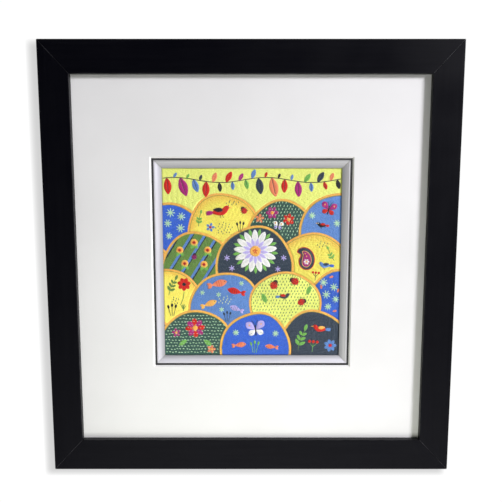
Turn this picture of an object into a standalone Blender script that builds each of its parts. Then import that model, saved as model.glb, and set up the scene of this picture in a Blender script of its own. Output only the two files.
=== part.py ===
"""Framed embroidery picture: a black mitred moulding round a bevelled white mat, a black under-mat that
shows as a narrow line, a mitred silver slip and a flat stretched cloth, closed at the back by a board.

Metres, +Z up. The picture faces -Y. The backs of the rails lie in the plane Y = 0, and the origin is on the
back of the top rail, half way along it, where the picture bears on a wall.
"""

import math

import bmesh
import bpy

# Sizes of the whole frame
FRAME_WIDTH = 0.420
FRAME_HEIGHT = 0.445
SIDE_RAIL_WIDTH = 0.0306
END_RAIL_WIDTH = 0.0330
RAIL_DEPTH = 0.020

# The moulding's section: a front lip, and behind it the rebate that takes the mats and the board
LIP_DEPTH = 0.0062
REBATE_SHARE = 0.2
EDGE_RADIUS = 0.0006
EDGE_STEPS = 3
BACK_EDGE_WEIGHT = 0.5
MITRE_EDGE_WEIGHT = 0.2

# Neighbouring pieces stay this far apart
GAP = 0.0003
MITRE_INSET = GAP / math.sqrt(2)
SIDE_PLAY = 0.0005

# The mats, whose window sits slightly right of and below the middle of the frame
MAT_THICKNESS = 0.0015
WINDOW_WIDTH = 0.2045
WINDOW_HEIGHT = 0.2170
WINDOW_SHIFT_X = 0.0009
WINDOW_SHIFT_Z = -0.0011
UNDER_MAT_REVEAL = 0.00165

# The slip: a narrow flat lip, a slope that falls towards the cloth, and a flange hidden under the mats
SLIP_FACE = 0.0081
SLIP_LIP = 0.0013
SLIP_LIP_DROP = 0.0003
SLIP_SLOPE_DROP = 0.0016
SLIP_SIGHT_EDGE = 0.0010
SLIP_FLANGE = 0.0060
SLIP_EDGE_RADIUS = 0.0003

# The cloth reaches this far past the opening that shows it, all round
CLOTH_THICKNESS = 0.0012
CLOTH_MARGIN = 0.0120

BOARD_THICKNESS = 0.0030
BOARD_EDGE = 0.0004

# The origin is this far below the top edge, half way down the back of the top rail
HANG_DROP = 0.0130

# Depths behind the front face of the rails, layer by layer
MAT_FRONT = LIP_DEPTH + GAP
UNDER_MAT_FRONT = MAT_FRONT + MAT_THICKNESS + GAP
SLIP_FRONT = UNDER_MAT_FRONT + SLIP_LIP_DROP
FLANGE_FRONT = UNDER_MAT_FRONT + MAT_THICKNESS + GAP
SLOPE_END = SLIP_FRONT + SLIP_SLOPE_DROP
SLIP_BACK = SLOPE_END + SLIP_SIGHT_EDGE
CLOTH_FRONT = SLIP_BACK + GAP
BOARD_FRONT = CLOTH_FRONT + CLOTH_THICKNESS + GAP

# Outer size of the slip's visible lip, and of the opening inside it
SLIP_WIDTH = WINDOW_WIDTH - 2 * (UNDER_MAT_REVEAL + GAP)
SLIP_HEIGHT = WINDOW_HEIGHT - 2 * (UNDER_MAT_REVEAL + GAP)
SIGHT_WIDTH = SLIP_WIDTH - 2 * SLIP_FACE
SIGHT_HEIGHT = SLIP_HEIGHT - 2 * SLIP_FACE

# What lies in the rebate has this size
REBATE_WIDTH = FRAME_WIDTH - 2 * SIDE_RAIL_WIDTH * (1 - REBATE_SHARE)
REBATE_HEIGHT = FRAME_HEIGHT - 2 * END_RAIL_WIDTH * (1 - REBATE_SHARE)
FILLING_WIDTH = REBATE_WIDTH - 2 * SIDE_PLAY
FILLING_HEIGHT = REBATE_HEIGHT - 2 * SIDE_PLAY


def clear_scene():
    for thing in list(bpy.data.objects):
        bpy.data.objects.remove(thing, do_unlink=True)


def make_material(name, colour, roughness, metallic=0.0):
    material = bpy.data.materials.new(name)
    material.use_nodes = True
    shader = material.node_tree.nodes["Principled BSDF"]
    shader.inputs["Base Color"].default_value = (*colour, 1.0)
    shader.inputs["Roughness"].default_value = roughness
    shader.inputs["Metallic"].default_value = metallic
    return material


def make_empty(name, location, parent=None):
    empty = bpy.data.objects.new(name, None)
    empty.location = location
    empty.parent = parent
    bpy.context.scene.collection.objects.link(empty)
    return empty


def make_object(name, bm, material, parent):
    """The finished mesh as one named object, under the empty that carries it."""
    bmesh.ops.recalc_face_normals(bm, faces=bm.faces)
    mesh = bpy.data.meshes.new(name)
    bm.to_mesh(mesh)
    bm.free()
    mesh.materials.append(material)
    thing = bpy.data.objects.new(name, mesh)
    thing.parent = parent
    bpy.context.scene.collection.objects.link(thing)
    return thing


def round_edges(thing, width):
    """Rounds the edges that carry a bevel weight, each by its weight times the width."""
    bevel = thing.modifiers.new("rounded_edges", "BEVEL")
    bevel.limit_method = "WEIGHT"
    bevel.width = width
    bevel.segments = EDGE_STEPS


def mitred_strip(section, long_weights, end_weight, length, taper):
    """A strip along X whose outer edge is at Z = 0 and whose ends are cut to a mitre.

    The section is a list of (inward, depth) points, walked round. long_weights holds the bevel weight of
    the edge that each point draws along the strip. An end moves in by taper for each metre inward.
    """
    bm = bmesh.new()
    weight = bm.edges.layers.float.new("bevel_weight_edge")
    front = min(depth for inward, depth in section)
    ends = []
    for side in (-1, 1):
        ring = []
        for inward, depth in section:
            x = side * (length / 2 - inward * taper - MITRE_INSET)
            ring.append(bm.verts.new((x, depth - RAIL_DEPTH, -inward)))
        ends.append(ring)
        face = bm.faces.new(ring)
        for edge in face.edges:
            on_front = all(math.isclose(v.co.y, front - RAIL_DEPTH, abs_tol=1e-7) for v in edge.verts)
            edge[weight] = end_weight if on_front else 0.0
    count = len(section)
    for i in range(count):
        j = (i + 1) % count
        bm.faces.new((ends[0][i], ends[0][j], ends[1][j], ends[1][i]))
    for i in range(count):
        edge = bm.edges.get((ends[0][i], ends[1][i]))
        edge[weight] = long_weights[i]
    return bm


def place_round(things, width, height):
    """Turns the four strips to their sides of a rectangle, with their outer edges on it."""
    turns = {"top": 0, "right": 90, "bottom": 180, "left": -90}
    places = {
        "top": (0, 0, height / 2),
        "right": (width / 2, 0, 0),
        "bottom": (0, 0, -height / 2),
        "left": (-width / 2, 0, 0),
    }
    for side, thing in things.items():
        thing.rotation_euler = (0, math.radians(turns[side]), 0)
        thing.location = places[side]


def make_rails(material, parent):
    """Four mitred lengths of moulding, with the rebate behind the front lip."""
    rails = {}
    for side in ("top", "right", "bottom", "left"):
        is_end = side in ("top", "bottom")
        width = END_RAIL_WIDTH if is_end else SIDE_RAIL_WIDTH
        other = SIDE_RAIL_WIDTH if is_end else END_RAIL_WIDTH
        length = FRAME_WIDTH if is_end else FRAME_HEIGHT
        rebate_wall = width * (1 - REBATE_SHARE)
        section = [
            (0.0, 0.0),
            (width, 0.0),
            (width, LIP_DEPTH),
            (rebate_wall, LIP_DEPTH),
            (rebate_wall, RAIL_DEPTH),
            (0.0, RAIL_DEPTH),
        ]
        weights = [1.0, 1.0, 0.0, 0.0, 0.0, BACK_EDGE_WEIGHT]
        bm = mitred_strip(section, weights, MITRE_EDGE_WEIGHT, length, other / width)
        rail = make_object("rail_" + side, bm, material, parent)
        round_edges(rail, EDGE_RADIUS)
        rails[side] = rail
    place_round(rails, FRAME_WIDTH, FRAME_HEIGHT)


def make_slips(material, parent):
    """Four mitred lengths of slip round the cloth. The flange goes back under the mats."""
    section = [
        (0.0, FLANGE_FRONT),
        (SLIP_FLANGE, FLANGE_FRONT),
        (SLIP_FLANGE, SLIP_FRONT),
        (SLIP_FLANGE + SLIP_LIP, SLIP_FRONT),
        (SLIP_FLANGE + SLIP_FACE, SLOPE_END),
        (SLIP_FLANGE + SLIP_FACE, SLIP_BACK),
        (0.0, SLIP_BACK),
    ]
    weights = [0.0, 0.0, 1.0, 1.0, 1.0, 0.0, 0.0]
    outer_width = SLIP_WIDTH + 2 * SLIP_FLANGE
    outer_height = SLIP_HEIGHT + 2 * SLIP_FLANGE
    slips = {}
    for side in ("top", "right", "bottom", "left"):
        length = outer_width if side in ("top", "bottom") else outer_height
        bm = mitred_strip(section, weights, 0.0, length, 1.0)
        slip = make_object("slip_" + side, bm, material, parent)
        round_edges(slip, SLIP_EDGE_RADIUS)
        slips[side] = slip
    place_round(slips, outer_width, outer_height)


def rectangle_ring(bm, width, height, depth, shift_x=0.0, shift_z=0.0):
    """Four points round a rectangle that faces the front, at this depth."""
    ring = []
    for x, z in ((-1, -1), (1, -1), (1, 1), (-1, 1)):
        place = (shift_x + x * width / 2, depth - RAIL_DEPTH, shift_z + z * height / 2)
        ring.append(bm.verts.new(place))
    return ring


def make_mat(name, front, window_front, window_back, material, parent):
    """A sheet with one window. The two window sizes differ where its edge is cut on a bevel."""
    bm = bmesh.new()
    back = front + MAT_THICKNESS
    shift = (WINDOW_SHIFT_X, WINDOW_SHIFT_Z)
    rings = [
        rectangle_ring(bm, FILLING_WIDTH, FILLING_HEIGHT, front),
        rectangle_ring(bm, *window_front, front, *shift),
        rectangle_ring(bm, *window_back, back, *shift),
        rectangle_ring(bm, FILLING_WIDTH, FILLING_HEIGHT, back),
    ]
    for a, b in zip(rings, rings[1:] + rings[:1]):
        for i in range(4):
            j = (i + 1) % 4
            bm.faces.new((a[i], a[j], b[j], b[i]))
    return make_object(name, bm, material, parent)


def make_sheet(name, width, height, front, thickness, material, parent):
    """A flat rectangular sheet, centred on the empty that carries it."""
    bm = bmesh.new()
    ring = rectangle_ring(bm, width, height, front)
    face = bm.faces.new(ring)
    raised = bmesh.ops.extrude_face_region(bm, geom=[face])
    moved = [item for item in raised["geom"] if isinstance(item, bmesh.types.BMVert)]
    bmesh.ops.translate(bm, verts=moved, vec=(0, thickness, 0))
    return make_object(name, bm, material, parent)


def main():
    clear_scene()
    centre_z = HANG_DROP - FRAME_HEIGHT / 2
    frame_centre = make_empty("frame_centre", (0, 0, centre_z))
    window_centre = make_empty("window_centre", (WINDOW_SHIFT_X, 0, WINDOW_SHIFT_Z), frame_centre)

    lacquer = make_material("black_lacquer", (0.012, 0.012, 0.014), 0.35)
    make_rails(lacquer, frame_centre)

    white_board = make_material("white_mat_board", (0.86, 0.86, 0.85), 0.85)
    bevel = 2 * MAT_THICKNESS
    make_mat(
        "top_mat",
        MAT_FRONT,
        (WINDOW_WIDTH + bevel, WINDOW_HEIGHT + bevel),
        (WINDOW_WIDTH, WINDOW_HEIGHT),
        white_board,
        frame_centre,
    )
    black_board = make_material("black_mat_board", (0.02, 0.02, 0.02), 0.9)
    under_window = (SLIP_WIDTH + 2 * GAP, SLIP_HEIGHT + 2 * GAP)
    make_mat("under_mat", UNDER_MAT_FRONT, under_window, under_window, black_board, frame_centre)

    silver = make_material("silver_slip", (0.62, 0.61, 0.65), 0.45, 0.4)
    make_slips(silver, window_centre)

    silk = make_material("silk_cloth", (0.55, 0.56, 0.20), 0.6)
    make_sheet(
        "embroidered_cloth",
        SIGHT_WIDTH + 2 * CLOTH_MARGIN,
        SIGHT_HEIGHT + 2 * CLOTH_MARGIN,
        CLOTH_FRONT,
        CLOTH_THICKNESS,
        silk,
        window_centre,
    )

    fibre_board = make_material("brown_fibre_board", (0.30, 0.20, 0.12), 0.8)
    board = make_sheet(
        "backing_board",
        FILLING_WIDTH,
        FILLING_HEIGHT,
        BOARD_FRONT,
        BOARD_THICKNESS,
        fibre_board,
        frame_centre,
    )
    softened = board.modifiers.new("softened_edges", "BEVEL")
    softened.width = BOARD_EDGE
    softened.segments = 1


main()
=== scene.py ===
# %% [markdown]
# # A framed embroidery, dressed for its portrait
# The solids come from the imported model: four mitred rails, two mats, a slip, a stretched cloth and a
# backing board. This lesson gives each of them its finish, lays thousands of silk stitches on the cloth,
# and sets up a camera, a wall and soft light. Everything is in metres, and the picture faces -Y.

# %% Load the frame
import math

import bmesh
import bpy
import numpy as np
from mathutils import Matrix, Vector


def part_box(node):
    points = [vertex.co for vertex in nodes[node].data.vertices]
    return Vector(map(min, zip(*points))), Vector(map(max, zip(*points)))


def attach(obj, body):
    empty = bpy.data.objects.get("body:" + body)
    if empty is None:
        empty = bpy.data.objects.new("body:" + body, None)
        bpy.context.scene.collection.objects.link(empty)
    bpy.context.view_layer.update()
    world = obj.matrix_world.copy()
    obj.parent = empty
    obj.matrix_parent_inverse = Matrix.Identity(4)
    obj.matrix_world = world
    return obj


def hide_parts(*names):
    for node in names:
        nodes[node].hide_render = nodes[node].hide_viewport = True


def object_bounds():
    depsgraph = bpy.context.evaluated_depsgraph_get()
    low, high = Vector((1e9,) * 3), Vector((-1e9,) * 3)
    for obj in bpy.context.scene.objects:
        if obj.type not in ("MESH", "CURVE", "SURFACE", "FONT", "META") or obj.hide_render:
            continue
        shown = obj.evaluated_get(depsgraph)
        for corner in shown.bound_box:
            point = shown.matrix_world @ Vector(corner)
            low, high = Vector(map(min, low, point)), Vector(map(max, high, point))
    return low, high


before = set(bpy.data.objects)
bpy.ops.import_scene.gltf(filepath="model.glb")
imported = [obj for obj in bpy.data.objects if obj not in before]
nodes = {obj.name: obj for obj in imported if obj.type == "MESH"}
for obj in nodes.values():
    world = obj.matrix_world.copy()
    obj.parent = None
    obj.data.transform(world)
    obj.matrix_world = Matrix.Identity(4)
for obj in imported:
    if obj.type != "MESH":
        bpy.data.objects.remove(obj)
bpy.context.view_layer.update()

print("solids:", ", ".join(sorted(nodes)))

# %% [markdown]
# ## The sizes that the solids give
# Nothing is measured twice. The opening inside the slip, the plane of the cloth and the outline of the
# frame are read from the solids' own boxes, so that every later piece sits where its carrier is. The
# design is drawn in millimetres from the middle of the opening, which is how a stitcher would mark it.

# %% Read the opening and the planes
MM = 0.001
sight_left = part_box("slip_left")[1].x
sight_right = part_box("slip_right")[0].x
sight_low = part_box("slip_bottom")[1].z
sight_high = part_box("slip_top")[0].z
cloth_low, cloth_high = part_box("embroidered_cloth")
frame_low, frame_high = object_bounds()

middle_x = (sight_left + sight_right) / 2
middle_z = (sight_low + sight_high) / 2
half_wide = (sight_right - sight_left) / 2 / MM
half_high = (sight_high - sight_low) / 2 / MM
cloth_front = cloth_low.y
frame_middle_z = (frame_low.z + frame_high.z) / 2
frame_front = frame_low.y
print("opening %.1f x %.1f mm, cloth front at y = %.4f" % (2 * half_wide, 2 * half_high, cloth_front))

# %% [markdown]
# ## Helpers
# One helper puts a new object in the scene. The rest are for finishes. A node tree is only a list of
# nodes and links, so one helper makes a node with its settings, one turns a painter's hex colour into the
# linear numbers that a shader works with, and the others name what a finish is mixed from: noise, spread,
# blend and bump.

# %% Helpers
def put_in_scene(name, data):
    """A new object with this data, at the origin."""
    made = bpy.data.objects.new(name, data)
    bpy.context.scene.collection.objects.link(made)
    return made


def add(tree, kind, links=(), **values):
    """A new node. links pairs an input with the socket that feeds it; values set its properties."""
    made = tree.nodes.new(kind)
    for name, value in values.items():
        setattr(made, name, value)
    for key, source in links:
        if hasattr(source, "links"):
            tree.links.new(source, made.inputs[key])
        else:
            made.inputs[key].default_value = source
    return made


def linear(hex_colour):
    """A colour written as RRGGBB, as linear numbers with full alpha."""
    out = []
    for i in (0, 2, 4):
        c = int(hex_colour[i:i + 2], 16) / 255
        out.append(c / 12.92 if c <= 0.04045 else ((c + 0.055) / 1.055) ** 2.4)
    return (*out, 1.0)


def start(name, **sockets):
    """A material with a Principled shader whose plain values are set on its own sockets."""
    material = bpy.data.materials.new(name)
    material.use_nodes = True
    tree = material.node_tree
    shader = tree.nodes["Principled BSDF"]
    for key, value in sockets.items():
        shader.inputs[key.replace("_", " ")].default_value = value
    return material, tree, shader


def feed(tree, shader, **sockets):
    """Links each of these sockets to the shader's input of that name."""
    for key, source in sockets.items():
        tree.links.new(source, shader.inputs[key.replace("_", " ")])


def maths(tree, operation, *terms):
    """One Math node; each term is a number or a socket."""
    return add(tree, "ShaderNodeMath", list(enumerate(terms)), operation=operation).outputs[0]


def noise(tree, place, scale, detail=3.0, roughness=0.5):
    """Clouds of grey from 0 to 1; a larger scale makes them finer."""
    links = [("Vector", place), ("Scale", scale), ("Detail", detail), ("Roughness", roughness)]
    return add(tree, "ShaderNodeTexNoise", links).outputs["Fac"]


def spread(tree, value, low, high, to_low=0.0, to_high=1.0):
    """Maps a value's range onto another, and clamps it."""
    links = [("Value", value), ("From Min", low), ("From Max", high)]
    links += [("To Min", to_low), ("To Max", to_high)]
    return add(tree, "ShaderNodeMapRange", links).outputs["Result"]


def blend_colours(tree, share, first, second):
    """Leans from the first colour to the second by this share."""
    return add(tree, "ShaderNodeMix", [(0, share), (6, first), (7, second)], data_type="RGBA").outputs[2]


def bump(tree, height, strength, distance, under=None):
    """A surface direction bent by a height, whose full depth is a distance in metres."""
    links = [("Height", height), ("Strength", strength), ("Distance", distance)]
    if under is not None:
        links.append(("Normal", under))
    return add(tree, "ShaderNodeBump", links).outputs["Normal"]


def xyz(tree, vector):
    """The three numbers of a place or a direction, as sockets named X, Y and Z."""
    return add(tree, "ShaderNodeSeparateXYZ", [(0, vector)]).outputs


def object_place(tree, stretch=(1, 1, 1)):
    """Object coordinates, stretched so that a pattern can run along a piece."""
    place = add(tree, "ShaderNodeTexCoord").outputs["Object"]
    if stretch == (1, 1, 1):
        return place
    return add(tree, "ShaderNodeMapping", [("Vector", place), ("Scale", stretch)]).outputs["Vector"]


def dress(names, material):
    """Gives solids of the frame a finish in their own material slot."""
    for name in names:
        mesh = nodes[name].data
        mesh.materials.clear()
        mesh.materials.append(material)


print("helpers ready")

# %% [markdown]
# ## The camera
# The photographed outline narrows towards the bottom, so the camera stood a little above the middle and
# looked down. The two widths and the height of that outline give the lens, the tilt and the distance.
# They are kept here as named values, from which the camera's place follows.

# %% Set the camera
PHOTO_SIDE = 502
FOCAL_PIXELS = 608.2
PITCH = math.radians(7.6)
CAMERA_DISTANCE = 0.6155
CAMERA_RISE = 0.0957
SENSOR = 36.0

camera_data = bpy.data.cameras.new("portrait_camera")
camera_data.sensor_width = SENSOR
camera_data.lens = SENSOR * FOCAL_PIXELS / PHOTO_SIDE
camera = put_in_scene("portrait_camera", camera_data)
camera.location = (0, frame_front - CAMERA_DISTANCE, frame_middle_z + CAMERA_RISE)
camera.rotation_euler = (math.radians(90) - PITCH, 0, 0)
bpy.context.scene.camera = camera
bpy.context.scene.view_settings.view_transform = "Standard"
print("lens %.1f mm" % camera_data.lens)

# %% [markdown]
# ## Black lacquer on the moulding
# The rails are satin black, so almost all that shows is the reflection of the room. What keeps such a
# finish from looking like plastic is small: a fine orange peel, the grain of the wood telegraphing
# through, roughness that wanders, and a slight rub along the front edges. The rub is found from the
# distance to those edges, worked out from Object coordinates: full within RUB_FULL of an edge, and gone
# by RUB_GONE.

# %% Lacquer
RUB_FULL = 0.0004
RUB_GONE = 0.0013
OUTER_HALF_WIDE = (frame_high.x - frame_low.x) / 2
OUTER_HALF_HIGH = (frame_high.z - frame_low.z) / 2
LIP_HALF_WIDE = -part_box("rail_left")[1].x
LIP_HALF_HIGH = frame_middle_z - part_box("rail_bottom")[1].z


def edge_distance(tree, x, y, z):
    """How far a point of the frame is from the outer or inner edge of its front face, in metres."""
    across = maths(tree, "ABSOLUTE", x)
    up = maths(tree, "ABSOLUTE", maths(tree, "SUBTRACT", z, frame_middle_z))
    from_side = maths(tree, "SUBTRACT", OUTER_HALF_WIDE, across)
    from_end = maths(tree, "SUBTRACT", OUTER_HALF_HIGH, up)
    outer = maths(tree, "MINIMUM", from_side, from_end)
    past_side = maths(tree, "SUBTRACT", across, LIP_HALF_WIDE)
    past_end = maths(tree, "SUBTRACT", up, LIP_HALF_HIGH)
    inner = maths(tree, "MAXIMUM", past_side, past_end)
    behind = maths(tree, "SUBTRACT", y, frame_front)
    return maths(tree, "MAXIMUM", behind, maths(tree, "MINIMUM", outer, inner))


def make_lacquer(name, along):
    material, tree, shader = start(name, IOR=1.26)
    place = object_place(tree)
    stretch = (6, 160, 160) if along == "X" else (160, 160, 6)
    grain = noise(tree, object_place(tree, stretch), 3.0, 4.0, 0.6)
    peel = noise(tree, place, 1400.0, 2.0)
    cloud = noise(tree, place, 18.0, 3.0)
    rub = noise(tree, place, 90.0, 5.0, 0.7)
    near_edge = spread(tree, edge_distance(tree, *xyz(tree, place)), RUB_FULL, RUB_GONE, 1.0, 0.0)
    rubbed = maths(tree, "MULTIPLY", near_edge, spread(tree, rub, 0.42, 0.62, 0.15, 1.0))
    colour = blend_colours(tree, spread(tree, grain, 0.35, 0.7), linear("04040A"), linear("09090F"))
    colour = blend_colours(tree, rubbed, colour, linear("1E1E22"))
    normal = bump(tree, grain, 0.25, 0.00008)
    normal = bump(tree, peel, 0.12, 0.00005, normal)
    dulled = spread(tree, cloud, 0.3, 0.7, 0.33, 0.42)
    feed(tree, shader, Base_Color=colour, Roughness=dulled, Normal=normal)
    return material


dress(["rail_top", "rail_bottom"], make_lacquer("black_lacquer_across", "X"))
dress(["rail_left", "rail_right"], make_lacquer("black_lacquer_upright", "Z"))
print("lip opening %.1f x %.1f mm" % (2 * LIP_HALF_WIDE / MM, 2 * LIP_HALF_HIGH / MM))

# %% [markdown]
# ## Putty in the mitres
# Where two rails meet, a framer rubs a little wax putty into the joint. It dries a shade lighter than the
# lacquer, which is why a mitre shows as a faint pale line, brighter where more of it was left. Each one
# is a thin blade of putty that fills the gap between two rails, from just under the face down into it.

# %% Mitre putty
PUTTY_THICK = 0.00022
PUTTY_SINK = 0.00008
PUTTY_DEPTH = 0.0030
PUTTY_END = 0.0012


def blade(name, start_point, end_point, thick, front, depth, material):
    """A thin upright blade between two points of the X-Z plane."""
    a, b = Vector(start_point), Vector(end_point)
    run = (b - a).normalized()
    a, b = a + run * PUTTY_END, b - run * PUTTY_END
    side = Vector((-run.y, run.x)) * thick / 2
    bm = bmesh.new()
    rings = []
    for y in (front, front + depth):
        corners = (a + side, b + side, b - side, a - side)
        rings.append([bm.verts.new((c.x, y, c.y)) for c in corners])
    bm.faces.new(rings[0])
    bm.faces.new(rings[1])
    for i in range(4):
        j = (i + 1) % 4
        bm.faces.new((rings[0][i], rings[0][j], rings[1][j], rings[1][i]))
    bmesh.ops.recalc_face_normals(bm, faces=bm.faces)
    mesh = bpy.data.meshes.new(name)
    bm.to_mesh(mesh)
    bm.free()
    mesh.materials.append(material)
    return put_in_scene(name, mesh)


def make_putty():
    material, tree, shader = start("mitre_putty", Roughness=0.55)
    speck = noise(tree, object_place(tree), 500.0, 4.0, 0.7)
    amount = noise(tree, object_place(tree), 70.0, 2.0)
    colour = blend_colours(tree, spread(tree, speck, 0.35, 0.65), linear("2C2C30"), linear("58585C"))
    colour = blend_colours(tree, spread(tree, amount, 0.40, 0.62), linear("101013"), colour)
    feed(tree, shader, Base_Color=colour, Normal=bump(tree, speck, 0.4, 0.0001))
    return material


putty = make_putty()
for across, across_name in ((-1, "left"), (1, "right")):
    for up, up_name in ((-1, "low"), (1, "high")):
        outer = (across * OUTER_HALF_WIDE, frame_middle_z + up * OUTER_HALF_HIGH)
        inner = (across * LIP_HALF_WIDE, frame_middle_z + up * LIP_HALF_HIGH)
        name = "mitre_putty_%s_%s" % (up_name, across_name)
        piece = blade(name, outer, inner, PUTTY_THICK, frame_front + PUTTY_SINK, PUTTY_DEPTH, putty)
        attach(piece, "root")
print("four mitres filled")

# %% [markdown]
# ## The two mats
# Mat board is paper: matt, with a soft tooth, and never perfectly even. Its window is cut on a bevel, and
# the cut shows the core, which is smoother and whiter than the facing paper. The bevel is found by the
# direction in which the surface faces. The under-mat is black right through and shows as a narrow line.

# %% Mat boards
def make_mat_board(name, face, mottled, core, roughness):
    material, tree, shader = start(name, Roughness=roughness, IOR=1.35)
    place = object_place(tree)
    tooth = noise(tree, place, 2600.0, 3.0, 0.6)
    pulp = noise(tree, object_place(tree, (1, 1, 0.45)), 420.0, 5.0, 0.65)
    cloud = noise(tree, place, 9.0, 3.0)
    fibre = spread(tree, noise(tree, place, 700.0, 2.0), 0.70, 0.78, 0.0, 0.5)
    colour = blend_colours(tree, spread(tree, cloud, 0.3, 0.7), linear(face), linear(mottled))
    colour = blend_colours(tree, fibre, colour, linear(mottled))
    facing = add(tree, "ShaderNodeNewGeometry").outputs["True Normal"]
    on_bevel = spread(tree, maths(tree, "ABSOLUTE", xyz(tree, facing)["Y"]), 0.85, 0.95, 1.0, 0.0)
    colour = blend_colours(tree, on_bevel, colour, linear(core))
    normal = bump(tree, pulp, 0.22, 0.00012)
    normal = bump(tree, tooth, 0.18, 0.00005, normal)
    feed(tree, shader, Base_Color=colour, Normal=normal)
    return material


dress(["top_mat"], make_mat_board("white_mat_board", "EFEEEE", "E8E7E7", "F8F7F7", 0.88))
dress(["under_mat"], make_mat_board("black_mat_board", "454546", "3E3E3F", "343435", 0.92))
print("mats dressed")

# %% [markdown]
# ## The silver slip
# The slip is wood under thin silver leaf with a lilac-grey wash. Along the strip the wash leaves fine
# streaks. Across it a painted shade darkens the wash towards the cloth, so it is brightest on the narrow
# lip. Each strip's wash also carries painted light: the top and right ones, which face away from the key
# light, are a shade duller and greyer, and the bottom one, which faces up, a shade brighter.

# %% Slip finish
SLOPE_WIDTH = 0.0068
COVE_TILT = 0.15
CLOTH_SHADE_WIDTH = 0.0048


def make_silver(name, along, dull, bright):
    material, tree, shader = start(name, Metallic=0.30, IOR=1.5)
    place = object_place(tree)
    if along == "X":
        axis, middle, half, stretch = "Z", middle_z, half_high * MM, (5, 90, 220)
    else:
        axis, middle, half, stretch = "X", middle_x, half_wide * MM, (220, 90, 5)
    from_middle = maths(tree, "ABSOLUTE", maths(tree, "SUBTRACT", xyz(tree, place)[axis], middle))
    from_cloth = maths(tree, "SUBTRACT", from_middle, half)
    streak = noise(tree, object_place(tree, stretch), 4.0, 4.0, 0.65)
    speck = noise(tree, place, 900.0, 3.0, 0.7)
    wash = blend_colours(tree, spread(tree, streak, 0.3, 0.7), linear(dull), linear(bright))
    # painted shade: the wash darkens towards the cloth, in the corner where the slip meets it
    cloth_shade = spread(tree, from_cloth, 0.0, CLOTH_SHADE_WIDTH, 0.8, 0.0)
    wash = blend_colours(tree, cloth_shade, wash, linear("94959A"))
    wash = blend_colours(tree, spread(tree, speck, 0.66, 0.74, 0.0, 0.5), wash, linear("8F8D94"))
    cove = maths(tree, "MULTIPLY", maths(tree, "MINIMUM", from_cloth, SLOPE_WIDTH), COVE_TILT)
    normal = bump(tree, cove, 1.0, 1.0)
    normal = bump(tree, streak, 0.3, 0.00006, normal)
    normal = bump(tree, speck, 0.15, 0.00004, normal)
    dulled = spread(tree, streak, 0.3, 0.7, 0.42, 0.55)
    feed(tree, shader, Base_Color=wash, Roughness=dulled, Normal=normal)
    return material


# the two colours of each strip carry painted light: duller and greyer on the top and right, brighter on
# the bottom
SLIP_STRIPS_WITH_PAINTED_LIGHT = (("top", "X", "C1C0C2", "CFCECF"), ("bottom", "X", "E2E0EA", "F0EEF6"),
               ("left", "Z", "D3D1D9", "E1DFE6"), ("right", "Z", "D2D1D4", "E0DFE2"))
for place_name, along, dull, bright in SLIP_STRIPS_WITH_PAINTED_LIGHT:
    dress(["slip_" + place_name], make_silver("silver_wash_" + place_name, along, dull, bright))
print(len(SLIP_STRIPS_WITH_PAINTED_LIGHT), "slip strips dressed")

# %% [markdown]
# ## The backing board
# The back is closed with brown fibre board: pressed wood fibres, short and pale on a darker ground, with
# a slightly polished skin. Fine noise gives the fibres, coarser flecks the chips between them, and a
# faint slow one keeps the sheet from looking printed.

# %% Fibre board
def make_fibre_board():
    material, tree, shader = start("brown_fibre_board", IOR=1.4)
    place = object_place(tree)
    fibre = noise(tree, object_place(tree, (1, 1, 0.35)), 620.0, 6.0, 0.75)
    cloud = noise(tree, place, 6.0, 2.0)
    chip = noise(tree, place, 230.0, 3.0, 0.6)
    colour = blend_colours(tree, spread(tree, cloud, 0.3, 0.7), linear("96734F"), linear("8E6C4A"))
    colour = blend_colours(tree, spread(tree, chip, 0.58, 0.70, 0.0, 0.55), colour, linear("6E5135"))
    colour = blend_colours(tree, spread(tree, fibre, 0.55, 0.72, 0.0, 0.7), colour, linear("BF9C72"))
    dulled = spread(tree, cloud, 0.3, 0.7, 0.6, 0.75)
    feed(tree, shader, Base_Color=colour, Roughness=dulled, Normal=bump(tree, fibre, 0.35, 0.0001))
    return material


dress(["backing_board"], make_fibre_board())
print("board dressed")

# %% [markdown]
# ## A design of its own
# The stitched picture is a garden of overlapping scallops, an old border pattern drawn large. Each
# scallop is a bed with its own thread, a golden rim and a filling: arcs, straight rows, bands or seeds.
# Beds are listed from the back row to the front, and a later bed covers an earlier one, as roof tiles do.
# All places are in millimetres from the middle of the opening. Each thread has two shades, the lighter
# one first.

# %% Threads and beds
THREADS = {
    "lime": ("F6FC8C", "E2EC78"),
    "yellow": ("FBF46E", "F4C452"),
    "gold": ("FFC862", "E8A448"),
    "royal": ("3F72DE", "2B52BA"),
    "cornflower": ("6C98D8", "4C76BA"),
    "slate": ("384656", "2A3644"),
    "forest": ("3A6258", "2A4A42"),
    "leaf": ("739A4C", "567A38"),
    "bright_green": ("86C860", "5FA248"),
    "mint": ("CDEFC6", "A6D6A8"),
    "olive": ("A8A648", "7E8238"),
    "red": ("E2271A", "B61910"),
    "magenta": ("BE2A88", "8E1C64"),
    "salmon": ("F4946C", "DC744E"),
    "lavender": ("C8BCF2", "A89CDC"),
    "white": ("FDFCFA", "E2E0DE"),
    "silver": ("C4C4CA", "A6A6B0"),
    "black": ("24262C", "16181C"),
}

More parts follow.
